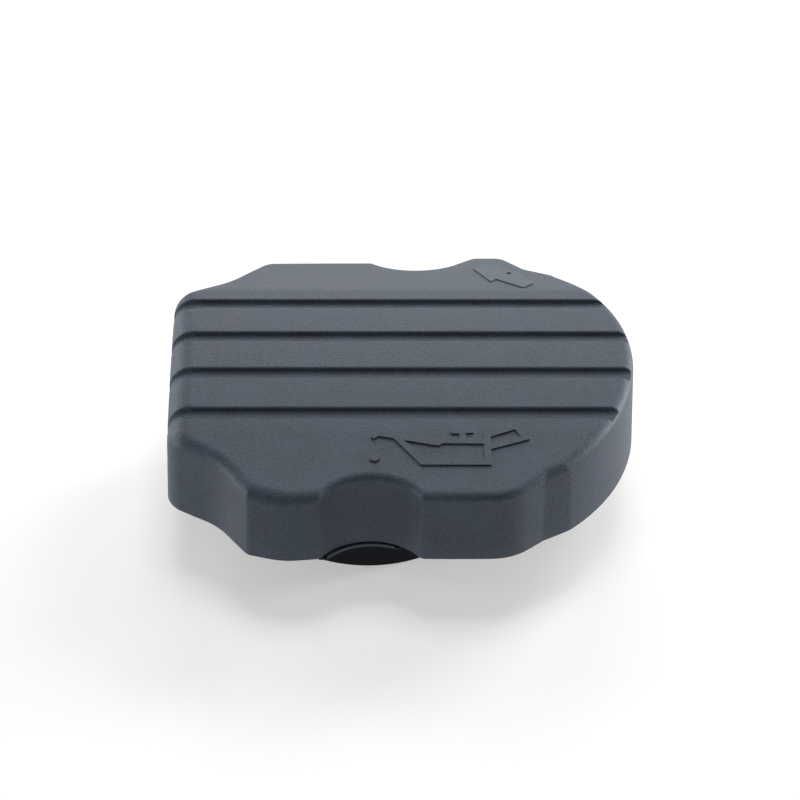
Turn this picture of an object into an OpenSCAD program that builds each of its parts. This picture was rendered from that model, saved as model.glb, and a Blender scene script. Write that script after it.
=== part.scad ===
// Oil filler cap of a car engine: a wavy grip cover over a black closure with a bayonet neck.
// The origin is on the neck's axis, in the plane of the neck's lower end. +Z is up, -Y is the front.

/* [Grip cover outline] */
// Neck axis to the straight left side
left_reach = 33.4; // [31:0.1:36]
// Lean of the left side in degrees: its back end stands further out
left_lean = 1.6; // [0:0.1:3]
// Neck axis to the middle of the front lobes
front_reach = 34.1; // [33:0.1:36]
// Neck axis to the back left lobe
back_reach = 34.2; // [33:0.1:36]
// How far the back right lobe stands behind the back left one
back_lobe_step = 2.3; // [0.5:0.1:3]
// Radius of the round right end
end_r = 37.9; // [36:0.1:39]
// Neck axis to the centre of the round end, to the right
end_x = 6.8; // [5:0.1:8]
// Neck axis to the centre of the round end, to the back
end_y = 0.6; // [0:0.1:1.5]
// Radius of the finger scallops
scallop_r = 9.6; // [9:0.1:10.5]
// Depth of the front scallop
front_scallop_d = 4.4; // [3.8:0.1:4.8]
// Depth of the back scallop
back_scallop_d = 3.6; // [3:0.1:4.2]
// Middle of the front scallop, from the neck axis
front_scallop_x = 0.7; // [0:0.1:2]
// Middle of the back scallop, from the neck axis
back_scallop_x = 8.1; // [7.5:0.1:9]

/* [Grip cover section] */
// Height of the crown's top over the cover's rim
cover_h = 15.9; // [14:0.1:18]
// Radius of the crown, front to back
crown_r = 196; // [150:1:300]
// Neck axis to the highest line of the crown, to the back
crown_y = 2.9; // [1:0.1:5]
// Neck axis to the bend before the back facet
back_bend_y = 20.4; // [20:0.1:22]
// Slope of the back facet in degrees
back_slope = 12.7; // [9:0.1:15]
// Neck axis to the bend before the front facet
front_bend_y = 19.1; // [18:0.1:21]
// Slope of the front facet in degrees
front_slope = 8; // [6:0.1:11]
// Draft of the outer wall in degrees
draft = 1.3; // [0.5:0.1:2]
// Thickness of the side wall
wall_t = 2.2; // [2:0.1:2.6]
// Thickness of the top
top_t = 2.6; // [2.4:0.1:3]
// Top edge radius along the left side
left_edge_r = 4; // [3:0.1:4.5]
// Top edge radius of the front left lobe
front_lobe_edge_r = 2.2; // [1.5:0.1:2.4]
// Top edge radius round the right end
end_edge_r = 1.8; // [1:0.1:2.5]
// Top edge radius of the scallops
scallop_edge_r = 1.1; // [0.8:0.1:1.4]
// Top edge radius everywhere else
edge_r = 1.3; // [1:0.1:1.6]

/* [Grip grooves] */
// Number of grooves across the top
groove_n = 4; // [2:1:4]
// Distance from one groove to the next
groove_pitch = 10.25; // [9.8:0.05:10.6]
// Neck axis to the middle of the row of grooves
groove_y = 1; // [0:0.1:2]
// Width of a groove at the surface, with its rounded back edge
groove_w = 3.1; // [2.6:0.1:3.6]
// Depth of a groove
groove_d = 0.8; // [0.5:0.05:1.2]
// Radius of the groove's rounded back edge
groove_edge_r = 0.4; // [0.3:0.05:0.7]

/* [Ribs and clips inside the cover] */
// Thickness of the ribs
rib_t = 1.4; // [1:0.1:2]
// Distance from one cross rib to the next
rib_pitch = 11; // [10:0.1:12]
// Width of a clip hook
clip_w = 6; // [4:0.1:8]
// Thickness of a clip hook
clip_t = 1.4; // [1:0.1:1.8]
// Height of a clip hook over the base plate
clip_h = 4.6; // [4:0.1:6]
// How far a hook's nose reaches into its window
clip_nose = 0.8; // [0.5:0.1:1]

/* [Closure] */
// Outer diameter of the neck
neck_d = 39; // [37:0.1:41]
// Height of the cover's rim over the neck's lower end
neck_h = 13.7; // [12:0.1:16]
// Wall of the neck
neck_wall = 2.2; // [1.8:0.1:3]
// Chamfer on the neck's lower edge
neck_chamfer = 0.3; // [0.3:0.1:1]
// Thickness of the base plate
plate_t = 2; // [1.6:0.1:2.6]
// How far the base plate hangs below the cover's rim
plate_drop = 0.7; // [0.5:0.1:0.9]
// How far the waist lip stands proud of the cover in the front scallop
lip_proud = 0.35; // [0.2:0.05:0.6]
// Thickness of the waist lip
lip_t = 0.4; // [0.3:0.1:0.5]
// Number of bayonet lugs
lug_n = 2; // [2:1:3]
// Angle that a lug covers
lug_angle = 36; // [25:1:45]
// How far a lug stands out of the neck
lug_out = 2.6; // [1.5:0.1:3.2]
// Height of a lug
lug_h = 2.8; // [2:0.1:3.2]
// Neck's lower end to the lug's underside
lug_z = 1.8; // [1.2:0.1:2]
// Number of webs inside the neck
web_n = 6; // [3:1:8]
// Height of the webs inside the neck
web_h = 3; // [2:0.1:4]
// Diameter of the boss inside the neck
boss_d = 9; // [6:0.1:12]

/* [Seal] */
// How far the seal stands out of the neck
seal_w = 3.3; // [2.6:0.1:4]
// Thickness of the seal
seal_t = 3; // [2.5:0.1:3.5]
// Depth of the seat that holds the seal on the neck
seal_seat = 0.5; // [0.3:0.1:0.8]
// How far the sealing face stands below the neck's collar
seal_lip = 0.3; // [0.2:0.1:0.6]

/* [Hidden] */
$fn = 96;

cover_colour = [0.41, 0.44, 0.48];
plug_colour = [0.09, 0.09, 0.11];
seal_colour = [0.05, 0.05, 0.05];

eps = 0.01;
fit_gap = 0.1;
rim_z = neck_h;
rim_chamfer = 0.12;
crown_z = rim_z + cover_h;
neck_r = neck_d/2;
rabbet_wall = wall_t - 1;
plate_z = rim_z - plate_drop;
plate_top = plate_z + plate_t;
plate_inset = rabbet_wall + fit_gap;
seat_r = neck_r - seal_seat;
seal_z = plate_z - seal_t;

// Crown of the cover

// Drop of the crown's arc at a distance from its highest line
function crown_drop(y) = crown_r - sqrt(crown_r*crown_r - (y - crown_y)*(y - crown_y));
// Height of the cover's top over the front to back position y
function top_z(y) =
    y > back_bend_y ? crown_z - crown_drop(back_bend_y) - (y - back_bend_y)*tan(back_slope) :
    y < -front_bend_y ? crown_z - crown_drop(-front_bend_y) + (y + front_bend_y)*tan(front_slope) :
    crown_z - crown_drop(y);
// Slope of the crown in degrees, positive where it falls towards the front
function crown_tilt(y) = -asin((y - crown_y)/crown_r);

// Outline of the cover, as corners with a radius each, counter-clockwise

// Half angle of a scallop: it leaves a short straight length at each end of the arc
function scallop_half(d) = acos((scallop_r - d)/scallop_r) - 8;
// Distance from the mouth of a scallop to where the tangents at its ends cross
function scallop_rise(d) = d - scallop_r + scallop_r/cos(scallop_half(d));
// Half width of a scallop at its mouth
function scallop_half_w(d) = scallop_rise(d)/tan(scallop_half(d));

front_y = -front_reach;
hump_y = back_reach + back_lobe_step;
front_half_w = scallop_half_w(front_scallop_d);
back_half_w = scallop_half_w(back_scallop_d);
back_floor_y = back_reach - scallop_rise(back_scallop_d);
hump_x = back_scallop_x + (hump_y - back_floor_y)/tan(scallop_half(back_scallop_d));
// The round end is one corner: its sides leave the circle at this angle, to the front and the back
end_half = 45.5;
end_tip = end_r/cos(end_half);
end_lead = 0.5;
end_start = [end_x + end_r*cos(end_half) - end_lead*sin(end_half),
             end_y - end_r*sin(end_half) - end_lead*cos(end_half)];
end_stop = [end_start[0], 2*end_y - end_start[1]];

// Place of the left side at a front to back position
function left_x(y) = -left_reach - y*tan(left_lean);
// Ends of the straight left side, and the S steps from it to the front and the back left lobe
left_front_y = front_y + 13.8;
left_back_y = back_reach - 14.9;
front_left_s = [-left_reach + 9.2, front_y + 8.3];
back_left_s = [-left_reach + 9.5, back_reach - 7.8];
left_lobe_x = -left_reach + 14.2;
back_left_lobe_x = -left_reach + 15;
// The front left lobe bulges a little in its middle
lobe_bulge = 0.7;
lobe_bulge_x = (left_lobe_x + front_scallop_x - front_half_w)/2;
// The S steps from the right lobes to the round end
front_right_s = end_start + [-4.4, -2.7];
back_right_s = end_stop + [-5.3, 3.1];
right_lobe_x = end_start[0] - 9.6;
back_right_lobe_x = end_stop[0] - 9.3;

// x, y, corner radius, top edge radius of the side that follows
corners = [
    [left_x(left_front_y), left_front_y, 5.5, 2],
    [front_left_s[0], front_left_s[1], 14, 2],
    [left_lobe_x, front_y + 1.1, 1.8, front_lobe_edge_r],
    [lobe_bulge_x, front_y - lobe_bulge, 11, (front_lobe_edge_r + edge_r)/2],
    [front_scallop_x - front_half_w, front_y, 1.3, scallop_edge_r],
    [front_scallop_x, front_y + scallop_rise(front_scallop_d), scallop_r, scallop_edge_r],
    [front_scallop_x + front_half_w, front_y, 1.3, edge_r],
    [right_lobe_x, front_y, 9, edge_r],
    [front_right_s[0], front_right_s[1], 3, (edge_r + end_edge_r)/2],
    [end_start[0], end_start[1], 1.2, end_edge_r],
    [end_x + end_tip, end_y, end_r, end_edge_r],
    [end_stop[0], end_stop[1], 1.2, edge_r],
    [back_right_s[0], back_right_s[1], 3, edge_r],
    [back_right_lobe_x, hump_y, 3.5, edge_r],
    [hump_x, hump_y, 3, scallop_edge_r],
    [back_scallop_x, back_floor_y, scallop_r, scallop_edge_r],
    [back_scallop_x - back_half_w, back_reach, 1.3, edge_r],
    [back_left_lobe_x, back_reach - 0.2, 3.5, edge_r],
    [back_left_s[0], back_left_s[1], 14, 2],
    [left_x(left_back_y), left_back_y, 4.5, left_edge_r]
];
corner_n = len(corners);

function spot(i) = [corners[i][0], corners[i][1]];
function unit(v) = v/norm(v);
function cross_z(a, b) = a[0]*b[1] - a[1]*b[0];
// Direction of the side that leaves corner i
function side_dir(i) = unit(spot((i + 1) % corner_n) - spot(i));
// Outward normal of the side that leaves corner i
function side_out(i) = [side_dir(i)[1], -side_dir(i)[0]];
// Turn at corner i in degrees, positive where the outline is convex
function turn(i) =
    let (a = side_dir((i + corner_n - 1) % corner_n), b = side_dir(i))
    atan2(cross_z(a, b), a*b);
// Corner i moved inwards, by inset_a at the side before it and inset_b at the side after it
function moved(i, inset_a, inset_b) =
    let (a = side_dir((i + corner_n - 1) % corner_n), b = side_dir(i),
         p = spot(i) - inset_a*side_out((i + corner_n - 1) % corner_n),
         q = spot(i) - inset_b*side_out(i),
         t = cross_z(q - p, b)/cross_z(a, b))
    p + t*a;
// Radius left at corner i after an inset
function left_r(i, inset) =
    turn(i) > 0 ? max(0.4, corners[i][2] - inset) : corners[i][2] + inset;
// Steps of the outline: degrees and length in an arc, and length in a straight side
arc_step = 8;
arc_length_step = 2.5;
side_step = 5;
// The straight sides swell by this much in their middle
side_swell = 0.05;
function arc_n(i) =
    max(2, ceil(abs(turn(i))/arc_step), ceil(corners[i][2]*abs(turn(i))*PI/180/arc_length_step));
function side_n(i) =
    let (j = (i + 1) % corner_n)
    max(1, ceil((norm(spot(j) - spot(i)) - cut(i) - cut(j))/side_step));
// Length that the arc at corner i takes from its sides
function cut(i) = corners[i][2]*tan(abs(turn(i))/2);

// Insets of all sides for a drop through the top edge: t = 0 is the wall, t = 90 the top
function edge_insets(t, extra) = [for (c = corners) c[3]*(1 - cos(t)) + extra];
function edge_drops(t) = [for (c = corners) c[3]*(1 - sin(t))];
function even(v) = [for (c = corners) v];

// Arc of corner i as points, each with the share of the side after it
function corner_points(i, insets) =
    let (h = (i + corner_n - 1) % corner_n,
         v = moved(i, insets[h], insets[i]),
         a = side_dir(h), b = side_dir(i),
         r = left_r(i, (insets[h] + insets[i])/2),
         l = r*tan(abs(turn(i))/2),
         s = sign(turn(i)),
         c = v - l*a + s*r*[-a[1], a[0]],
         n = arc_n(i))
    [for (k = [0:n])
        let (g = atan2(-s*a[0], s*a[1]) + k/n*turn(i))
        [c[0] + r*cos(g), c[1] + r*sin(g), k/n]];

// One ring of the outline: x, y and the drop at each point
function ring(insets, drops) = [
    for (i = [0:corner_n - 1])
        let (h = (i + corner_n - 1) % corner_n,
             j = (i + 1) % corner_n,
             arc = corner_points(i, insets),
             next = corner_points(j, insets)[0],
             last = arc[len(arc) - 1])
        each concat(
            [for (p = arc) [p[0], p[1], drops[h]*(1 - p[2]) + drops[i]*p[2]]],
            [for (k = [1:1:side_n(i) - 1])
                let (q = k/side_n(i),
                     b = 4*side_swell*q*(1 - q)*side_out(i))
                [last[0]*(1 - q) + next[0]*q + b[0], last[1]*(1 - q) + next[1]*q + b[1], drops[i]]])];

// Flat outline, inset by the same amount all round
function flat_ring(inset) = [for (p = ring(even(inset), even(0))) [p[0], p[1]]];
// Ring on the cover's top, lowered by the drops
function top_ring(insets, drops) = [for (p = ring(insets, drops)) [p[0], p[1], top_z(p[1]) - p[2]]];
function level_ring(inset, z) = [for (p = ring(even(inset), even(0))) [p[0], p[1], z]];

// Closed skin through rings that have the same number of points, lowest ring first
module skin(rings) {
    n = len(rings[0]);
    m = len(rings);
    points = [for (r = rings) each r];
    sides = [for (j = [0:m - 2], i = [0:n - 1])
        let (k = (i + 1) % n)
        each [[j*n + i, (j + 1)*n + i, (j + 1)*n + k], [j*n + i, (j + 1)*n + k, j*n + k]]];
    floor_face = [for (i = [0:n - 1]) i];
    top_face = [for (i = [n - 1:-1:0]) (m - 1)*n + i];
    polyhedron(points, concat(sides, [floor_face], [top_face]));
}

wall_inset = cover_h*tan(draft);
edge_steps = [0, 22, 44, 64, 80];
over_top = 3;
// Share of the edge radius by which the last ring rises over the crown, to cross it cleanly
cross_share = 0.02;

under_rim = 0.8;
// Outer form of the cover without its crown and rim: it runs on above the top and below the rim
module outer_form() {
    skin(concat(
        [level_ring(rim_chamfer + under_rim, rim_z - under_rim)],
        [level_ring(0, rim_z + rim_chamfer)],
        [for (t = edge_steps) top_ring(edge_insets(t, wall_inset), edge_drops(t))],
        [top_ring(edge_insets(90, wall_inset), [for (c = corners) -cross_share*c[3]])],
        [[for (p = ring(edge_insets(90, wall_inset), even(0))) [p[0], p[1], crown_z + over_top]]]));
}

// Cutting shapes reach this far from the neck axis
reach = end_x + end_r + 15;
crown_step = 2;
// Everything between the rim and the crown, with the crown lowered by a thickness
module under_crown(t) {
    span = front_bend_y + back_bend_y;
    n = ceil(span/crown_step);
    profile = concat(
        [[reach, rim_z], [reach, top_z(reach) - t]],
        [for (k = [0:n]) let (y = back_bend_y - span*k/n) [y, top_z(y) - t]],
        [[-reach, top_z(-reach) - t], [-reach, rim_z]]);
    translate([-reach, 0, 0])
        rotate([90, 0, 90])
            linear_extrude(2*reach)
                polygon(profile);
}

// Section of a groove, as [across, depth]: a rounded back edge, a flat floor and a sharp front edge
floor_r = 0.2;
// How far each wall of a groove leans back over its depth
groove_lean = 0.1;
function groove_section(up) =
    let (h = groove_w/2, r = groove_edge_r, foot = h - r - groove_lean - floor_r)
    concat(
        [[h, up], [h, 0]],
        [for (t = [15:15:75]) [h - r*sin(t), -r*(1 - cos(t))]],
        [for (t = [0:30:90]) [foot + floor_r*cos(t), -groove_d + floor_r*(1 - sin(t))]],
        [[groove_lean + floor_r - h, -groove_d], [groove_lean - h, -groove_d + floor_r], [-h, 0], [-h, up]]);

groove_up = 4;
bend_r = left_edge_r;
// Groove cutter: straight to the right, and bent down over the rounded left edge
module groove_cut(y) {
    bend_x = left_x(y) + wall_inset + bend_r;
    translate([0, y, top_z(y)])
        rotate([crown_tilt(y), 0, 0]) {
            translate([bend_x, 0, 0])
                rotate([90, 0, 90])
                    linear_extrude(2*reach)
                        polygon(groove_section(groove_up));
            translate([bend_x, 0, -groove_d - bend_r])
                rotate([90, 0, 0])
                    rotate([0, 0, 90])
                        rotate_extrude(angle = 90)
                            polygon([for (p = groove_section(groove_up)) [p[1] + groove_d + bend_r, -p[0]]]);
        }
}

groove_ys = [for (k = [0:groove_n - 1]) groove_y + groove_pitch*(k - (groove_n - 1)/2)];

// Cross ribs stand at these places, and drive fins of the closure between them
rib_xs = [for (k = [-2:3]) k*rib_pitch];
fin_gap = 0.2;
fin_t = 1.6;
fin_h = 5;
// Play between the ribs and the base plate, and at each end of a fin
rib_clear = 0.2;
fin_play = 1;

module cover_ribs() {
    translate([-reach, -rib_t/2, plate_top + rib_clear])
        cube([2*reach, rib_t, reach]);
    for (x = rib_xs)
        translate([x - rib_t/2, -reach, plate_top + rib_clear])
            cube([rib_t, 2*reach, reach]);
}

module cover_cavity() {
    intersection() {
        translate([0, 0, plate_top - eps])
            linear_extrude(cover_h)
                polygon(flat_ring(wall_t));
        under_crown(top_t);
    }
}

// Clips: place of the wall's inner face, and the direction in which the hook's nose points
clips = [
    [[-left_reach + wall_t, 0], 180],
    [[end_x + end_r - wall_t, end_y], 0],
    [[(front_scallop_x + front_half_w + right_lobe_x)/2, front_y + wall_t], -90],
    [[(back_left_lobe_x + back_scallop_x - back_half_w)/2, back_reach - wall_t], 90]
];
clip_gap = 0.15;
// Heights over the base plate where a hook's nose starts, stands full and ends, below the hook's top
nose_start = 1.5;
nose_full = 1.3;
nose_end = 0.9;
// Window in the wall for the nose: play to the sides, above and below, and beyond the nose
window_side = 0.3;
window_play = 0.4;
window_out = 0.2;
window_in = 1;

// The ribs stop short of the hooks, with this play behind and over each hook
pocket_play = 0.3;

module clip_pockets() {
    for (c = clips)
        translate([c[0][0], c[0][1], plate_top])
            rotate([0, 0, c[1]])
                translate([-clip_gap - clip_t - pocket_play, -clip_w/2 - window_side, 0])
                    cube([clip_gap + clip_t + pocket_play + wall_t/2, clip_w + 2*window_side,
                          clip_h + pocket_play]);
}

module clip_windows() {
    for (c = clips)
        translate([c[0][0], c[0][1], plate_top + clip_h - nose_start - window_play])
            rotate([0, 0, c[1]])
                translate([-window_in, -clip_w/2 - window_side, 0])
                    cube([window_in + clip_nose + window_out, clip_w + 2*window_side,
                          nose_start + 2*window_play]);
}

module grip_cover() {
    color(cover_colour)
        difference() {
            intersection() {
                outer_form();
                under_crown(0);
            }
            difference() {
                cover_cavity();
                difference() {
                    cover_ribs();
                    clip_pockets();
                }
            }
            translate([0, 0, rim_z - 1])
                linear_extrude(plate_top - rim_z + 1)
                    polygon(flat_ring(rabbet_wall));
            clip_windows();
            for (y = groove_ys)
                groove_cut(y);
        }
}

// Closure

// The waist lip shows in the front scallop, from its left corner to past its middle
lip_lead = 0.2;
lip_end = 4.5;
lip_y = 0.7;
// Direction in which the lip stands out, from the front to the right
lip_turn = 50;

// Lip of the base plate that stands out under the rim in the front scallop
module waist_lip() {
    intersection() {
        translate([lip_proud*sin(lip_turn), -lip_proud*cos(lip_turn), plate_z])
            linear_extrude(lip_t)
                polygon(flat_ring(0));
        translate([front_scallop_x - front_half_w - lip_lead, front_y + lip_y, plate_z - 1])
            cube([front_half_w + lip_lead + lip_end, scallop_r, plate_t]);
    }
}

module drive_fins() {
    fin_l = rib_pitch - rib_t - 2*fin_play;
    fin_y = rib_t/2 + fin_gap + fin_t/2;
    for (k = [-2:2], side = [-1, 1])
        translate([(k + 0.5)*rib_pitch - fin_l/2, side*fin_y - fin_t/2, plate_top - eps])
            cube([fin_l, fin_t, fin_h]);
}

module clip_hooks() {
    for (c = clips)
        translate([c[0][0], c[0][1], plate_top])
            rotate([0, 0, c[1]])
                translate([-clip_gap, 0, 0])
                    rotate([90, 0, 0])
                        translate([0, 0, -clip_w/2])
                            linear_extrude(clip_w)
                                polygon([[-clip_t, -eps], [0, -eps], [0, clip_h - nose_start],
                                         [clip_nose, clip_h - nose_full], [clip_nose, clip_h - nose_end],
                                         [0, clip_h], [-clip_t, clip_h]]);
}

module neck_tube() {
    inner_r = neck_r - neck_wall;
    c = neck_chamfer;
    rotate_extrude()
        polygon([[inner_r, c], [inner_r + c, 0], [neck_r - c, 0], [neck_r, c],
                 [neck_r, seal_z], [seat_r, seal_z], [seat_r, plate_z + eps], [inner_r, plate_z + eps]]);
}

// A lug's root in the neck's wall, its lower chamfer that leads it in, and its upper one
lug_root = 1;
lug_lead = 0.8;
lug_edge = 0.3;

module lugs() {
    tip_r = neck_r + lug_out;
    top = lug_z + lug_h;
    for (k = [0:lug_n - 1])
        rotate([0, 0, 360/lug_n*k - lug_angle/2])
            rotate_extrude(angle = lug_angle)
                polygon([[neck_r - lug_root, lug_z], [tip_r - lug_lead, lug_z], [tip_r, lug_z + lug_lead],
                         [tip_r, top - lug_edge], [tip_r - lug_edge, top], [neck_r - lug_root, top]]);
}

// Angle of the first web, and how far the webs run into the neck's wall
web_turn = 30;
web_root = 0.5;

module neck_webs() {
    web_z = plate_z - web_h;
    translate([0, 0, web_z])
        cylinder(d = boss_d, h = web_h + eps);
    for (k = [0:web_n - 1])
        rotate([0, 0, 360/web_n*k + web_turn])
            translate([0, -rib_t/2, web_z])
                cube([neck_r - neck_wall + web_root, rib_t, web_h + eps]);
}

module plug_body() {
    color(plug_colour)
        union() {
            translate([0, 0, plate_z])
                linear_extrude(plate_t)
                    polygon(flat_ring(plate_inset));
            waist_lip();
            drive_fins();
            clip_hooks();
            neck_tube();
            lugs();
            neck_webs();
        }
}

// Seal

seal_edge = 0.5;
// Play round the neck before the sealing face starts
seal_lead = 0.2;

module seal_ring() {
    r = neck_r + seal_w;
    face_z = seal_z - seal_lip;
    lead_r = neck_r + seal_lead;
    color(seal_colour)
        rotate_extrude()
            polygon([[seat_r, seal_z], [lead_r, seal_z], [lead_r + seal_lip, face_z], [r - seal_edge, face_z],
                     [r, face_z + seal_edge], [r, plate_z - seal_edge], [r - seal_edge, plate_z],
                     [seat_r, plate_z]]);
}

grip_cover();
plug_body();
seal_ring();
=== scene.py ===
# Oil filler cap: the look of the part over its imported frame.
# Shapes are worked out in millimetres in the part's own frame, and made in metres.
import math

import bpy
import numpy as np
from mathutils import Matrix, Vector
from mathutils.geometry import delaunay_2d_cdt


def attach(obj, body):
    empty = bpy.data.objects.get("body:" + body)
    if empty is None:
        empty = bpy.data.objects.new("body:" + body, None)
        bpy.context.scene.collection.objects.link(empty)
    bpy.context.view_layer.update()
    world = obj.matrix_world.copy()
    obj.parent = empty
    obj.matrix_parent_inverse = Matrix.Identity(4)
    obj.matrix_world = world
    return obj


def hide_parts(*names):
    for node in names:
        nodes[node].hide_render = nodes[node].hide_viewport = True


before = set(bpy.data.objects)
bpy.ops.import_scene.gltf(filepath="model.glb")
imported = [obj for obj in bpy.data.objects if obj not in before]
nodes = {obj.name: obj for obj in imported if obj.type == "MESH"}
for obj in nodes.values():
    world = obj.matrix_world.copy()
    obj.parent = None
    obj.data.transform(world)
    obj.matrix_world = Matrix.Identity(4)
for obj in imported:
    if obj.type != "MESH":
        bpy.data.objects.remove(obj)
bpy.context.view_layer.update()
MM = 0.001

# Sizes of the grip cover. Those that the part's source has too carry its names.

LEFT_REACH = 33.4
LEFT_LEAN = math.radians(1.6)
FRONT_REACH = 34.1
BACK_REACH = 34.2
BACK_LOBE_STEP = 2.3
END_R = 37.9
END_X = 6.8
END_Y = 0.6
END_HALF = math.radians(45.5)
END_LEAD = 0.5
SCALLOP_R = 9.6
SCALLOP_CUT = math.radians(8)
FRONT_SCALLOP_D = 4.4
BACK_SCALLOP_D = 3.6
FRONT_SCALLOP_X = 0.7
BACK_SCALLOP_X = 8.1
MOUTH_R = 1.3
LOBE_BULGE = 0.7
COVER_H = 15.9
CROWN_R = 196
CROWN_Y = 2.9
BACK_BEND_Y = 20.4
BACK_SLOPE = math.radians(12.7)
FRONT_BEND_Y = 19.1
FRONT_SLOPE = math.radians(8)
DRAFT = math.radians(1.3)
WALL_T = 2.2
TOP_T = 2.6
LEFT_EDGE_R = 4
LEFT_S_EDGE_R = 2
FRONT_LOBE_EDGE_R = 2.2
END_EDGE_R = 1.8
SCALLOP_EDGE_R = 1.1
EDGE_R = 1.3
LEAST_R = 0.4
GROOVE_N = 4
GROOVE_PITCH = 10.25
# The photograph shows the grooves half a millimetre further to the front than the source
GROOVE_Y = 0.5
GROOVE_W = 3.1
GROOVE_D = 0.8
GROOVE_EDGE_R = 0.4
GROOVE_EDGE_DEGREES = 75
GROOVE_LEAN = 0.1
FLOOR_R = 0.2
RIM_Z = 13.7
RIM_EDGE_R = 0.15
PLATE_DROP = 0.7
PLATE_T = 2
PLATE_Z = RIM_Z - PLATE_DROP
PLATE_TOP = PLATE_Z + PLATE_T
CROWN_Z = RIM_Z + COVER_H
WALL_INSET = COVER_H * math.tan(DRAFT)
RABBET_WALL = WALL_T - 1
# A straight side swells by this much in its middle, and by less if it is shorter than the length
SIDE_SWELL = 0.05
FULL_SWELL_L = 8

# Slate strip over the lip, partly the cover's lower rim and partly a painted highlight: how far it
# stands out and in which direction, its height, the skin that it adds over the lip, its reach into
# the lip, and where it starts and ends along the scallop

LIP_PROUD = 0.35
LIP_TURN = math.radians(50)
LIP_T = 0.4
LIP_SKIN = 0.02
LIP_DEEP = 0.5
LIP_START_D = 0.8
LIP_START_SLACK = 0.1
LIP_END_X = 4.4

# Steps of the mesh: along the outline, there where a groove runs out over a side, round the
# top edge and the rim in degrees, and in rows over the top and the ceiling

OUTLINE_STEP = 0.7
GROOVE_END_STEP = 0.13
GROOVE_END_HALF_W = 2.4
GROOVE_END_X = 28
CORNER_STEP = math.radians(4)
SIDE_SAMPLES = 400
EDGE_DEGREES = 6
RIM_DEGREES = 30
WALL_SHARES = (0.25, 0.5, 0.75, 0.9)
POINT_STEP = 2.5
ROW_STEP = 1.0
FIRST_ROW_Y = -34
LAST_ROW_Y = 36.5
ROW_GROOVE_GAP = 2.5
CEILING_ROWS = 4
BEND_HALF_W = 1.2
BEND_STEP = 0.3
ROW_LEAD = 0.12
SHARP_ANGLE = math.radians(42)

# Widths over which the bends of the top and a groove's edges are softened, and their tables

BEND_SOFT = 0.45
BEND_TABLE_STEP = 0.02
BEND_TABLE_REACH = 60
GROOVE_SOFT = 0.05
GROOVE_TABLE_STEP = 0.01
GROOVE_TABLE_REACH = 4


def angles(end, step):
    """Angles in radians from 0 to an end, where the end and the step are in degrees."""
    return np.radians(np.arange(0, end + 1, step))


# Height of the top over a front to back position

def crown_drop(y):
    return CROWN_R - np.sqrt(CROWN_R * CROWN_R - (y - CROWN_Y) ** 2)


def bare_top_z(y):
    """Height of the top with sharp bends, as in the part's source."""
    back = CROWN_Z - crown_drop(BACK_BEND_Y) - (y - BACK_BEND_Y) * math.tan(BACK_SLOPE)
    front = CROWN_Z - crown_drop(-FRONT_BEND_Y) + (y + FRONT_BEND_Y) * math.tan(FRONT_SLOPE)
    crown = CROWN_Z - crown_drop(y)
    return np.where(y > BACK_BEND_Y, back, np.where(y < -FRONT_BEND_Y, front, crown))


def soften(values, step, width):
    """Smooths a table of values by a bell curve of a width."""
    reach = int(4 * width / step)
    kernel = np.exp(-0.5 * (np.arange(-reach, reach + 1) * step / width) ** 2)
    padded = np.pad(values, reach, mode="edge")
    return np.convolve(padded, kernel / kernel.sum(), mode="valid")


TABLE_Y = np.arange(-BEND_TABLE_REACH, BEND_TABLE_REACH, BEND_TABLE_STEP)
TABLE_TOP = soften(bare_top_z(TABLE_Y), BEND_TABLE_STEP, BEND_SOFT)


def top_z(y):
    return np.interp(y, TABLE_Y, TABLE_TOP)


# Grooves

def groove_table():
    """Depth over the distance from a groove's middle: round back edge, flat floor, sharp front."""
    h = GROOVE_W / 2
    r = GROOVE_EDGE_R
    w = h - r - GROOVE_LEAN - FLOOR_R
    back = [(h - r * math.sin(t), r * (1 - math.cos(t))) for t in angles(GROOVE_EDGE_DEGREES, 5)]
    foot = [(w + FLOOR_R * math.cos(t), GROOVE_D - FLOOR_R * (1 - math.sin(t)))
            for t in angles(90, 10)]
    front = [(GROOVE_LEAN + FLOOR_R - h, GROOVE_D), (GROOVE_LEAN - h, GROOVE_D - FLOOR_R), (-h, 0)]
    line = sorted(back + foot + front)
    u = np.arange(-GROOVE_TABLE_REACH, GROOVE_TABLE_REACH, GROOVE_TABLE_STEP)
    depth = np.interp(u, [p[0] for p in line], [p[1] for p in line], left=0, right=0)
    return u, soften(depth, GROOVE_TABLE_STEP, GROOVE_SOFT)


GROOVE_U, GROOVE_DEPTH = groove_table()
GROOVES = [GROOVE_Y + GROOVE_PITCH * (k - (GROOVE_N - 1) / 2) for k in range(GROOVE_N)]
# Places across a groove where the mesh has a line: close together at its two edges
GROOVE_LINES = [
    -2.3, -2.0, -1.82, -1.72, -1.65, -1.6, -1.55, -1.5, -1.45, -1.4, -1.34, -1.26, -1.15, -0.95,
    -0.6, -0.1, 0.3, 0.5, 0.62, 0.7, 0.76, 0.82, 0.87, 0.92, 0.97, 1.02, 1.07, 1.12, 1.18, 1.25,
    1.33, 1.42, 1.52, 1.65, 1.85, 2.2,
]


def groove_depth(y):
    return sum(np.interp(y - g, GROOVE_U, GROOVE_DEPTH) for g in GROOVES)


def left_x(y):
    """Place of the left side at a front to back position."""
    return -LEFT_REACH - y * math.tan(LEFT_LEAN)


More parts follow.
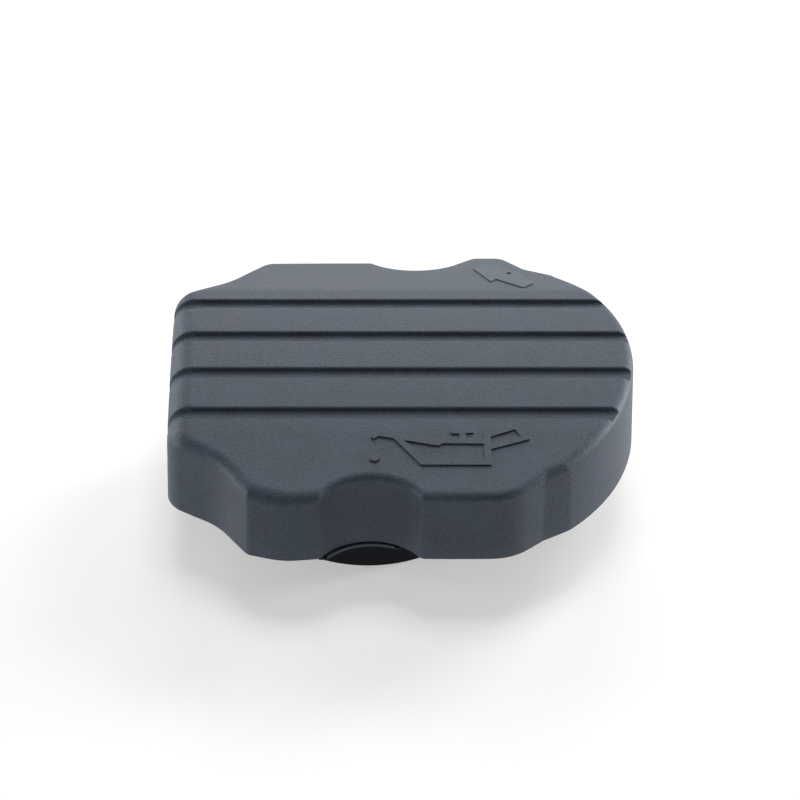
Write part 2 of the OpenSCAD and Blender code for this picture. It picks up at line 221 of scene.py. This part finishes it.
def carve(points):
    """Lowers the points of the bare skin to the grooves, which bend down over the left edge."""
    x, y, z = points[:, 0].copy(), points[:, 1], points[:, 2].copy()
    top = top_z(y)
    depth = groove_depth(y)
    bend_x = left_x(y) + WALL_INSET + LEFT_EDGE_R
    flat = x >= bend_x
    z = np.where(flat, np.minimum(z, top - depth), z)
    dx = bend_x - x
    dz = z - (top - GROOVE_D - LEFT_EDGE_R)
    rho = np.hypot(dx, dz)
    floor_rho = GROOVE_D + LEFT_EDGE_R - depth
    pull = ~flat & (dz > 0) & (depth > 0) & (rho > floor_rho)
    x = np.where(pull, bend_x - dx * floor_rho / rho, x)
    z = np.where(pull, top - GROOVE_D - LEFT_EDGE_R + dz * floor_rho / rho, z)
    return np.c_[x, y, z]


# Outline of the cover, as corners with a radius each, counter-clockwise

def scallop_half(d):
    """Half angle of a scallop of depth d, which leaves a short straight length at each end."""
    return math.acos((SCALLOP_R - d) / SCALLOP_R) - SCALLOP_CUT


def scallop_rise(d):
    """Distance from a scallop's mouth to where the tangents at its ends cross."""
    return d - SCALLOP_R + SCALLOP_R / math.cos(scallop_half(d))


def scallop_half_w(d):
    return scallop_rise(d) / math.tan(scallop_half(d))


def outline_corners():
    """x, y, corner radius and top edge radius of the side that follows, for each corner."""
    front = -FRONT_REACH
    hump = BACK_REACH + BACK_LOBE_STEP
    front_w = scallop_half_w(FRONT_SCALLOP_D)
    back_w = scallop_half_w(BACK_SCALLOP_D)
    back_floor = BACK_REACH - scallop_rise(BACK_SCALLOP_D)
    hump_x = BACK_SCALLOP_X + (hump - back_floor) / math.tan(scallop_half(BACK_SCALLOP_D))
    tip = END_R / math.cos(END_HALF)
    start_x = END_X + END_R * math.cos(END_HALF) - END_LEAD * math.sin(END_HALF)
    start_y = END_Y - END_R * math.sin(END_HALF) - END_LEAD * math.cos(END_HALF)
    stop_y = 2 * END_Y - start_y
    # Ends of the straight left side, and the S steps and lobes beside it
    left_front_y = front + 13.8
    left_back_y = BACK_REACH - 14.9
    front_left_s = (-LEFT_REACH + 9.2, front + 8.3)
    back_left_s = (-LEFT_REACH + 9.5, BACK_REACH - 7.8)
    left_lobe_x = -LEFT_REACH + 14.2
    back_left_lobe_x = -LEFT_REACH + 15
    bulge_x = (left_lobe_x + FRONT_SCALLOP_X - front_w) / 2
    # S steps and lobes beside the round end
    front_right_s = (start_x - 4.4, start_y - 2.7)
    back_right_s = (start_x - 5.3, stop_y + 3.1)
    right_lobe_x = start_x - 9.6
    back_right_lobe_x = start_x - 9.3
    return [
        (left_x(left_front_y), left_front_y, 5.5, LEFT_S_EDGE_R),
        (*front_left_s, 14, LEFT_S_EDGE_R),
        (left_lobe_x, front + 1.1, 1.8, FRONT_LOBE_EDGE_R),
        (bulge_x, front - LOBE_BULGE, 11, (FRONT_LOBE_EDGE_R + EDGE_R) / 2),
        (FRONT_SCALLOP_X - front_w, front, MOUTH_R, SCALLOP_EDGE_R),
        (FRONT_SCALLOP_X, front + scallop_rise(FRONT_SCALLOP_D), SCALLOP_R, SCALLOP_EDGE_R),
        (FRONT_SCALLOP_X + front_w, front, MOUTH_R, EDGE_R),
        (right_lobe_x, front, 9, EDGE_R),
        (*front_right_s, 3, (EDGE_R + END_EDGE_R) / 2),
        # The photograph shows this corner softer than the 1.2 mm of the part's source
        (start_x, start_y, 3.2, END_EDGE_R),
        (END_X + tip, END_Y, END_R, END_EDGE_R),
        (start_x, stop_y, 1.2, EDGE_R),
        (*back_right_s, 3, EDGE_R),
        (back_right_lobe_x, hump, 3.5, EDGE_R),
        (hump_x, hump, 3, SCALLOP_EDGE_R),
        (BACK_SCALLOP_X, back_floor, SCALLOP_R, SCALLOP_EDGE_R),
        (BACK_SCALLOP_X - back_w, BACK_REACH, MOUTH_R, EDGE_R),
        (back_left_lobe_x, BACK_REACH - 0.2, 3.5, EDGE_R),
        (*back_left_s, 14, LEFT_S_EDGE_R),
        (left_x(left_back_y), left_back_y, 4.5, LEFT_EDGE_R),
    ]


def unit(v):
    return v / np.hypot(*v)


def cross_z(a, b):
    return a[0] * b[1] - a[1] * b[0]


CORNERS = outline_corners()
N = len(CORNERS)
SPOTS = [np.array(c[:2]) for c in CORNERS]
CORNER_R = [c[2] for c in CORNERS]
EDGES = np.array([c[3] for c in CORNERS], float)
# Direction and outward normal of the side that leaves each corner, and the turn at the corner
DIRS = [unit(SPOTS[(i + 1) % N] - SPOTS[i]) for i in range(N)]
OUTS = [np.array([d[1], -d[0]]) for d in DIRS]
TURNS = [math.atan2(cross_z(DIRS[i - 1], DIRS[i]), DIRS[i - 1] @ DIRS[i]) for i in range(N)]


def arc_of(i, insets):
    """Centre, radius and start angle of the arc at corner i after the insets of its two sides."""
    a, b = DIRS[i - 1], DIRS[i]
    p = SPOTS[i] - insets[i - 1] * OUTS[i - 1]
    q = SPOTS[i] - insets[i] * OUTS[i]
    spot = p + cross_z(q - p, b) / cross_z(a, b) * a
    inset = (insets[i - 1] + insets[i]) / 2
    r = max(LEAST_R, CORNER_R[i] - inset) if TURNS[i] > 0 else CORNER_R[i] + inset
    s = math.copysign(1, TURNS[i])
    centre = spot - r * math.tan(abs(TURNS[i]) / 2) * a + s * r * np.array([-a[1], a[0]])
    return centre, r, math.atan2(-s * a[0], s * a[1])


def arc_points(i, insets, shares):
    centre, r, start = arc_of(i, insets)
    angle = start + np.asarray(shares) * TURNS[i]
    return np.c_[centre[0] + r * np.cos(angle), centre[1] + r * np.sin(angle)]


def next_start(i, insets):
    """First point of the arc at the corner after corner i."""
    return arc_points((i + 1) % N, insets, [0])[0]


def spacing(point):
    """Distance between neighbouring points of the outline at a point."""
    near = min(abs(point[1] - g) for g in GROOVES)
    at_groove_end = near < GROOVE_END_HALF_W and abs(point[0]) > GROOVE_END_X
    return GROOVE_END_STEP if at_groove_end else OUTLINE_STEP


def shares_along(points):
    """Shares of a line's length at which it gets a point, without its end."""
    gaps = np.hypot(*np.diff(points, axis=0).T)
    spots = (points[1:] + points[:-1]) / 2
    load = np.r_[0, np.cumsum(gaps / [spacing(p) for p in spots])]
    n = max(2, math.ceil(load[-1]))
    return np.interp(np.arange(n) * load[-1] / n, load, np.linspace(0, 1, len(points)))


def outline_plan():
    """For each corner the shares along its arc, and along the side after it."""
    none = np.zeros(N)
    fine = np.linspace(0, 1, SIDE_SAMPLES)
    plan = []
    for i in range(N):
        arc = arc_points(i, none, fine)
        side = arc[-1] + fine[:, None] * (next_start(i, none) - arc[-1])
        arc_shares = shares_along(arc)
        least = math.ceil(abs(TURNS[i]) / CORNER_STEP)
        if len(arc_shares) < least:
            arc_shares = np.arange(least) / least
        plan.append((arc_shares, shares_along(side)))
    return plan


PLAN = outline_plan()


def ring(insets, drops):
    """Points of one ring round the cover, as x, y and drop."""
    out = []
    for i in range(N):
        arc_shares, side_shares = PLAN[i]
        arc = arc_points(i, insets, np.r_[arc_shares, 1])
        drop = drops[i - 1] * (1 - arc_shares) + drops[i] * arc_shares
        out.append(np.c_[arc[:-1], drop])
        q = side_shares[:, None]
        end = next_start(i, insets)
        swell = SIDE_SWELL * min(1, np.hypot(*(end - arc[-1])) / FULL_SWELL_L)
        side = arc[-1] * (1 - q) + end * q + 4 * swell * q * (1 - q) * OUTS[i]
        out.append(np.c_[side, np.full(len(q), drops[i])])
    return np.vstack(out)


def level_ring(inset, z):
    """Ring at one inset and one height."""
    flat = ring(np.full(N, float(inset)), np.zeros(N))
    return np.c_[flat[:, :2], np.full(len(flat), z)]


def top_ring(insets, drops, lowered=0.0):
    """Ring that follows the top at a drop below it for each side."""
    flat = ring(insets, drops)
    return np.c_[flat[:, :2], top_z(flat[:, 1]) - flat[:, 2] - lowered]


def edge_ring(t):
    """Ring at the angle t of the rounded top edge: 0 is the wall, 90 degrees the top."""
    return top_ring(EDGES * (1 - math.cos(t)) + WALL_INSET, EDGES * (1 - math.sin(t)))


# Meshes

def new_object(name, points, faces, material):
    mesh = bpy.data.meshes.new(name)
    mesh.from_pydata([tuple(p) for p in np.asarray(points) * MM], [], faces)
    mesh.validate()
    mesh.update()
    mesh.polygons.foreach_set("use_smooth", [True] * len(mesh.polygons))
    mesh.set_sharp_from_angle(angle=SHARP_ANGLE)
    obj = bpy.data.objects.new(name, mesh)
    bpy.context.collection.objects.link(obj)
    obj.data.materials.append(material)
    return obj


def crossings(loop, y):
    """Sorted x at which the line at y crosses a closed loop."""
    after = np.roll(loop, -1, 0)
    hit = (loop[:, 1] - y) * (after[:, 1] - y) < 0
    a, b = loop[hit], after[hit]
    return np.sort(a[:, 0] + (y - a[:, 1]) / (b[:, 1] - a[:, 1]) * (b[:, 0] - a[:, 0]))


def encloses(loop, point):
    """Whether a point lies inside a closed loop."""
    a, b = loop, np.roll(loop, -1, 0)
    hit = (a[:, 1] > point[1]) != (b[:, 1] > point[1])
    share = (point[1] - a[hit, 1]) / (b[hit, 1] - a[hit, 1])
    return np.count_nonzero(a[hit, 0] + share * (b[hit, 0] - a[hit, 0]) > point[0]) % 2 == 1


def fill_plan(loops, rows=()):
    """Triangles inside the first closed loop, where the others are holes.

    Edges of the mesh follow each row y inside the first loop.
    """
    loops = [np.asarray(loop)[:, :2] for loop in loops]
    border = np.vstack(loops)
    points = [Vector(p) for p in border]
    edges = []
    start = 0
    for loop in loops:
        n = len(loop)
        edges += [(start + k, start + (k + 1) % n) for k in range(n)]
        start += n
    for y in rows:
        xs = crossings(loops[0], y)
        for x0, x1 in zip(xs[::2], xs[1::2]):
            n = max(1, int((x1 - x0 - 2 * ROW_LEAD) / POINT_STEP))
            if x1 - x0 > 4 * ROW_LEAD:
                edges += [(len(points) + k, len(points) + k + 1) for k in range(n)]
                row = np.linspace(x0 + ROW_LEAD, x1 - ROW_LEAD, n + 1)
                points += [Vector((x, y)) for x in row]
    inside_only = 1
    nearness = 1e-7
    verts, _, tris, origin, _, _ = delaunay_2d_cdt(points, edges, [], inside_only, nearness)
    index = []
    extra = []
    for v, source in zip(verts, origin):
        known = [i for i in source if i < len(border)]
        index.append(known[0] if known else len(border) + len(extra))
        if not known:
            extra.append(tuple(v))
    flat = np.vstack([border, extra]) if extra else border
    out = []
    for t in tris:
        a, b, c = [index[k] for k in t]
        if any(encloses(hole, (flat[a] + flat[b] + flat[c]) / 3) for hole in loops[1:]):
            continue
        area = cross_z(flat[b] - flat[a], flat[c] - flat[a])
        out.append((a, b, c) if area > 0 else (a, c, b))
    return flat, out


def cover_skin(material):
    """The grip cover as one closed skin: rim, wall, rounded edge, grooved top, plain inside."""
    inner = [
        top_ring(np.full(N, float(WALL_T)), np.zeros(N), TOP_T),
        level_ring(WALL_T, PLATE_TOP),
        level_ring(RABBET_WALL, PLATE_TOP),
        level_ring(RABBET_WALL, RIM_Z),
    ]
    outer = [level_ring(RIM_EDGE_R * (1 - math.sin(t)), RIM_Z + RIM_EDGE_R * (1 - math.cos(t)))
             for t in angles(90, RIM_DEGREES)]
    low, high = outer[-1], edge_ring(0)
    outer += [low * (1 - q) + high * q for q in WALL_SHARES]
    outer += [edge_ring(t) for t in angles(90, EDGE_DEGREES)]
    rings = inner + outer
    n = len(inner[0])
    points = [np.vstack(inner), carve(np.vstack(outer))]
    faces = []
    for j in range(len(rings) - 1):
        for i in range(n):
            k = (i + 1) % n
            faces.append((j * n + i, j * n + k, (j + 1) * n + k, (j + 1) * n + i))
    lines = [g + u for g in GROOVES for u in GROOVE_LINES]
    across_bend = np.arange(-BEND_HALF_W, BEND_HALF_W + BEND_STEP / 2, BEND_STEP)
    bends = [b + u for b in (BACK_BEND_Y, -FRONT_BEND_Y) for u in across_bend]
    plain = [y for y in np.arange(FIRST_ROW_Y, LAST_ROW_Y, ROW_STEP)
             if min(abs(y - g) for g in GROOVES) > ROW_GROOVE_GAP]
    rows = sorted(lines + bends + plain)
    count = len(rings) * n
    for level, first, is_top in ((rings[-1], count - n, True), (rings[0], 0, False)):
        flat, tris = fill_plan([level], rows if is_top else plain[::CEILING_ROWS])
        z = top_z(flat[:, 1]) - (groove_depth(flat[:, 1]) if is_top else TOP_T)
        points.append(np.c_[flat[n:], z[n:]])
        index = list(range(first, first + n)) + list(range(count, count + len(flat) - n))
        count += len(flat) - n
        for t in tris:
            a, b, c = [index[k] for k in t]
            faces.append((a, b, c) if is_top else (a, c, b))
    return new_object("cover_skin", np.vstack(points), faces, material)


def rim_and_highlight_band(material):
    """Slate strip over the lip under the rim, from the front scallop's left end past its middle:
    partly the cover's lower rim, partly a painted highlight where the black lip catches light.
    """
    shift = np.array([LIP_PROUD * math.sin(LIP_TURN), -LIP_PROUD * math.cos(LIP_TURN), 0])
    top = LIP_T + LIP_SKIN
    rows = [(LIP_DEEP, top), (-LIP_SKIN, top), (-LIP_SKIN, 0), (LIP_DEEP, LIP_SKIN)]
    lines = [level_ring(inset, PLATE_Z + z) + shift for inset, z in rows]
    first_x = FRONT_SCALLOP_X - scallop_half_w(FRONT_SCALLOP_D) - LIP_START_SLACK
    x, y = lines[1][:, 0], lines[1][:, 1]
    shown = (x > first_x) & (x < FRONT_SCALLOP_X + LIP_END_X)
    shown &= (y > LIP_START_D - FRONT_REACH) & (y < 0)
    lines = [line[shown] for line in lines]
    n = len(lines[0])
    starts = [j * n for j in range(len(lines))]
    faces = [(a + i, b + i, b + i + 1, a + i + 1)
             for a, b in zip(starts, starts[1:] + starts[:1]) for i in range(n - 1)]
    faces.append(tuple(reversed(starts)))
    faces.append(tuple(a + n - 1 for a in starts))
    return new_object("rim_and_highlight_band", np.vstack(lines), faces, material)


SIGN_SUNK = 0.15
SIGN_BEVEL = 0.07
SIGN_BEVEL_ANGLE = math.radians(40)


def raised_sign(name, loops, height, material):
    """A sign that stands up from the cover's top by a height, with a small bevel."""
    flat, tris = fill_plan(loops)
    n = len(flat)
    top = np.c_[flat, top_z(flat[:, 1]) + height]
    bottom = np.c_[flat, top_z(flat[:, 1]) - SIGN_SUNK]
    faces = list(tris) + [(a + n, c + n, b + n) for a, b, c in tris]
    start = 0
    for loop in loops:
        m = len(loop)
        x, y = np.asarray(loop).T
        area = np.sum(x * np.roll(y, -1) - np.roll(x, -1) * y)
        is_outer = start == 0
        for k in range(m):
            a, b = start + k, start + (k + 1) % m
            if (area > 0) != is_outer:
                a, b = b, a
            faces.append((a, a + n, b + n, b))
        start += m
    obj = new_object(name, np.vstack([top, bottom]), faces, material)
    bevel = obj.modifiers.new("soft_edge", "BEVEL")
    bevel.width = SIGN_BEVEL * MM
    bevel.segments = 2
    bevel.limit_method = "ANGLE"
    bevel.angle_limit = SIGN_BEVEL_ANGLE
    bevel.harden_normals = True
    return obj


# Materials

SHEEN_TINT = (0.84, 0.92, 1, 1)
MOTTLE_SIZE = 7
MOTTLE_SHARE = 0.35
RAMP_START = 0.3
RAMP_END = 0.7
ROUGHNESS_SPREAD = 0.08
BUMP_STRENGTH = 0.6
NOISE_ROUGHNESS = 0.6


def plastic(name, colour, gloss, roughness, grain, grain_depth, spread):
    """Moulded plastic with a fine grain.

    The grain's size and depth are in millimetres. The colour varies by the spread, as a share.
    """
    mat = bpy.data.materials.new(name)
    mat.use_nodes = True
    tree = mat.node_tree
    shader = tree.nodes["Principled BSDF"]
    shader.inputs["Specular IOR Level"].default_value = gloss
    shader.inputs["Specular Tint"].default_value = SHEEN_TINT
    place = tree.nodes.new("ShaderNodeTexCoord")

    def noise(size, detail):
        node = tree.nodes.new("ShaderNodeTexNoise")
        node.inputs["Scale"].default_value = 1 / (size * MM)
        node.inputs["Detail"].default_value = detail
        node.inputs["Roughness"].default_value = NOISE_ROUGHNESS
        tree.links.new(place.outputs["Object"], node.inputs["Vector"])
        return node.outputs["Fac"]

    fine = noise(grain, 2)
    patchy = noise(MOTTLE_SIZE, 3)
    mixed = tree.nodes.new("ShaderNodeMix")
    mixed.inputs["Factor"].default_value = MOTTLE_SHARE
    tree.links.new(fine, mixed.inputs["A"])
    tree.links.new(patchy, mixed.inputs["B"])
    ramp = tree.nodes.new("ShaderNodeValToRGB")
    dark, light = ramp.color_ramp.elements
    dark.position = RAMP_START
    light.position = RAMP_END
    dark.color = [c * (1 - spread) for c in colour] + [1]
    light.color = [c * (1 + spread) for c in colour] + [1]
    tree.links.new(mixed.outputs["Result"], ramp.inputs["Fac"])
    tree.links.new(ramp.outputs["Color"], shader.inputs["Base Color"])
    rough = tree.nodes.new("ShaderNodeMapRange")
    rough.inputs["To Min"].default_value = roughness - ROUGHNESS_SPREAD
    rough.inputs["To Max"].default_value = roughness + ROUGHNESS_SPREAD
    tree.links.new(patchy, rough.inputs["Value"])
    tree.links.new(rough.outputs["Result"], shader.inputs["Roughness"])
    bump = tree.nodes.new("ShaderNodeBump")
    bump.inputs["Strength"].default_value = BUMP_STRENGTH
    bump.inputs["Distance"].default_value = grain_depth * MM
    tree.links.new(fine, bump.inputs["Height"])
    tree.links.new(bump.outputs["Normal"], shader.inputs["Normal"])
    return mat


def repaint(node, material):
    for slot in nodes[node].material_slots:
        slot.material = material


slate = plastic("slate_grain", (0.026, 0.036, 0.054),
                gloss=0.56, roughness=0.55, grain=0.28, grain_depth=0.14, spread=0.7)
smooth_slate = plastic("smooth_slate", (0.03, 0.041, 0.061),
                       gloss=0.62, roughness=0.55, grain=0.28, grain_depth=0.07, spread=0.5)
black = plastic("black_plastic", (0.007, 0.007, 0.011),
                gloss=0.14, roughness=0.5, grain=0.4, grain_depth=0.02, spread=0.2)
rubber = plastic("seal_rubber", (0.008, 0.008, 0.009),
                 gloss=0.25, roughness=0.7, grain=0.3, grain_depth=0.01, spread=0.2)

# The cover, the slate strip over its lip (partly a painted highlight) and the two nodes that keep
# their shape

skin = cover_skin(slate)
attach(skin, "root")
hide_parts("grip_cover")
# Slate strip over the black lip: partly the cover's lower rim, partly a painted highlight where
# the lip catches light
lip = rim_and_highlight_band(slate)
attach(lip, "root")
repaint("plug_body", black)
repaint("seal_ring", rubber)

# Raised signs: outlines in x and y, the first of a sign as its border and the rest as its holes

CAN = [
    (0.7, -21.0), (1.28, -21.3), (1.98, -20.7), (3.08, -20.95), (4.4, -21.28), (8.8, -27.11),
    (20.0, -27.11), (20.0, -23.67), (26.3, -21.4), (24.45, -17.78), (18.85, -20.05),
    (18.85, -21.25), (15.97, -21.25), (15.97, -20.1), (17.25, -20.0), (17.25, -18.95),
    (13.55, -18.95), (13.55, -19.75), (13.9, -20.15), (14.95, -20.2), (14.95, -21.25),
    (12.7, -21.25), (12.1, -21.62), (11.2, -21.62), (5.6, -20.35), (4.7, -20.15),
    (3.2, -19.85), (1.9, -19.55), (1.3, -20.15), (0.85, -20.1),
]
CAN_INSIDE = [
    (6.11, -21.66), (9.37, -25.96), (18.85, -25.96), (18.9, -22.44), (12.24, -22.36),
    (11.83, -22.78), (11.03, -22.78),
]
CAN_HANDLE = [(19.98, -22.45), (24.84, -20.76), (23.99, -19.21), (19.98, -20.9)]
DROP_X = 1.33
DROP_Y = -25.42
DROP_R = 0.85
DROP_TIP_Y = -24.1
DROP = [(DROP_X + DROP_R * math.cos(t), DROP_Y + DROP_R * math.sin(t))
        for t in np.radians(np.arange(145, 396, 14))]
DROP.append((DROP_X, DROP_TIP_Y))
BOOK = [
    (18.25, 29.87), (20.87, 24.49), (21.21, 24.07), (22.11, 25.14), (26.65, 21.27),
    (28.55, 23.11), (25.2, 28.93), (22.46, 30.91), (21.57, 30.44), (19.4, 31.44),
]
BOOK_DOT = [(23.9, 27.8), (24.3, 27.2), (24.9, 27.7), (24.5, 28.3)]
SIGNS = [
    ("oil_can_sign", [CAN, CAN_INSIDE, CAN_HANDLE], 0.28, slate),
    ("oil_drop_sign", [DROP], 0.28, slate),
    ("handbook_sign", [BOOK, BOOK_DOT], 0.18, smooth_slate),
]
for name, loops, height, material in SIGNS:
    sign = raised_sign(name, loops, height, material)
    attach(sign, "root")

# Floor and surroundings

FLOOR_SIZE = 6
FLOOR_LOOK = {
    "Base Color": (0.6, 0.6, 0.6, 1),
    "Roughness": 0.9,
    "Specular IOR Level": 0.1,
    # The photograph's table is overexposed to white, so the floor gives some light of its own
    "Emission Color": (1, 1, 1, 1),
    "Emission Strength": 0.43,
}
bpy.ops.mesh.primitive_plane_add(size=FLOOR_SIZE, location=(0, 0, 0))
floor = bpy.context.object
floor.name = "floor"
pale = bpy.data.materials.new("pale_floor")
pale.use_nodes = True
floor_inputs = pale.node_tree.nodes["Principled BSDF"].inputs
for socket, value in FLOOR_LOOK.items():
    floor_inputs[socket].default_value = value
floor.data.materials.append(pale)

world = bpy.data.worlds.new("studio")
bpy.context.scene.world = world
world.use_nodes = True
backdrop_inputs = world.node_tree.nodes["Background"].inputs
backdrop_inputs["Color"].default_value = (0.95, 0.97, 1, 1)
backdrop_inputs["Strength"].default_value = 0.02

# Lights, all turned to the point that the camera looks at

AIM = Vector((5.4, 8.9, RIM_Z)) * MM
LIGHT_DISTANCE = 1.2
# Name, direction round the cap from +X, elevation, size in metres and power in watts
LIGHTS = [
    ("right_low", 20, 7, 0.26, 12.6),
    ("right_back_low", 45, 13, 0.5, 2.7),
    ("right_back_high", 45, 38, 0.5, 5.4),
    ("back_low", 90, 13, 0.5, 2.2),
    ("back_high", 90, 38, 0.5, 3.3),
    ("left_back_low", 135, 13, 0.5, 3.9),
    ("left_back_high", 135, 38, 0.5, 1.4),
    ("left_low", 165, 7, 0.26, 3.2),
    ("left_front_low", 188, 7, 0.26, 3.8),
    ("front_high", 270, 50, 0.5, 1.2),
    ("top", 0, 88, 0.5, 5.0),
]
for name, turn, rise, size, power in LIGHTS:
    light = bpy.data.lights.new(name, "AREA")
    light.shape = "SQUARE"
    light.size = size
    light.energy = power
    light_obj = bpy.data.objects.new(name, light)
    bpy.context.collection.objects.link(light_obj)
    reach = LIGHT_DISTANCE * math.cos(math.radians(rise))
    light_obj.location = (reach * math.cos(math.radians(turn)),
                          reach * math.sin(math.radians(turn)),
                          LIGHT_DISTANCE * math.sin(math.radians(rise)))
    light_obj.rotation_euler = (AIM - light_obj.location).to_track_quat("-Z", "Y").to_euler()

# Camera, in front of the cap and above it

CAMERA_ELEVATION = math.radians(36.5)
CAMERA_DISTANCE = 0.5
camera = bpy.data.cameras.new("camera")
camera.lens = 130.5
camera.sensor_width = 36
camera_obj = bpy.data.objects.new("camera", camera)
bpy.context.collection.objects.link(camera_obj)
back = Vector((0, -math.cos(CAMERA_ELEVATION), math.sin(CAMERA_ELEVATION)))
camera_obj.location = AIM + CAMERA_DISTANCE * back
camera_obj.rotation_euler = (-back).to_track_quat("-Z", "Y").to_euler()
bpy.context.scene.camera = camera_obj
bpy.context.scene.view_settings.view_transform = "Standard"
